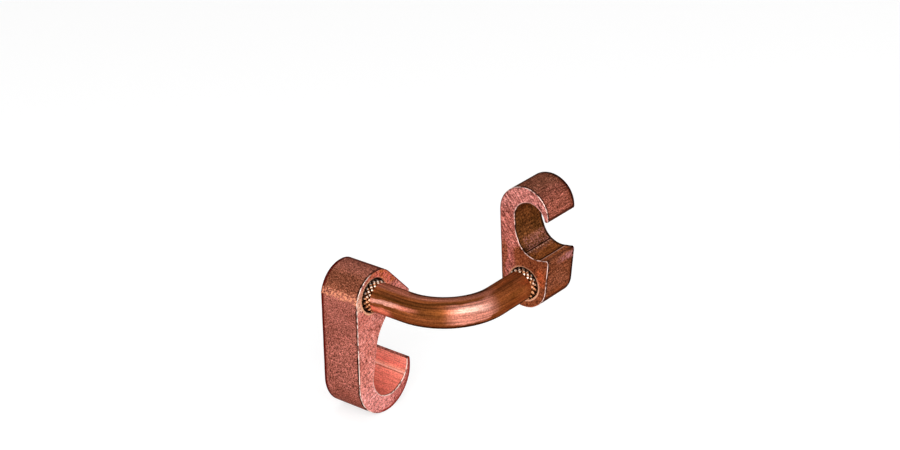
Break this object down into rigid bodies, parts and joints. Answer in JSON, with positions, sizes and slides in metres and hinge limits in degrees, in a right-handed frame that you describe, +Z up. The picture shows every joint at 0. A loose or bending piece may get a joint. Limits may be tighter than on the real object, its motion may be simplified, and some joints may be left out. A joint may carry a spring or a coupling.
{
  "type": "compression ground grid connector",
  "caption": "Copper grounding connector: an open hook tap hangs from one end of a bent, knurled rod and a smaller one stands on its other end; each is crimped round a ground cable or rod.",
  "frame": {"origin": "centre of the larger jaw, on its cable axis at the middle of the tap's width", "axes": "+X along the larger jaw's cable towards the bend, +Y along the smaller jaw's cable away from the bend, +Z up"},
  "size_m": [0.0755, 0.0755, 0.0997],
  "materials": {
    "larger_tap": "bare extruded copper, sawn end faces",
    "smaller_tap": "bare extruded copper, sawn end faces",
    "bent_rod": "drawn copper, smooth, knurled near the ends"
  },
  "bodies": {
    "root": {"larger_tap": "larger_tap", "smaller_tap": "smaller_tap", "bent_rod": "bent_rod"}
  },
  "joints": []
}
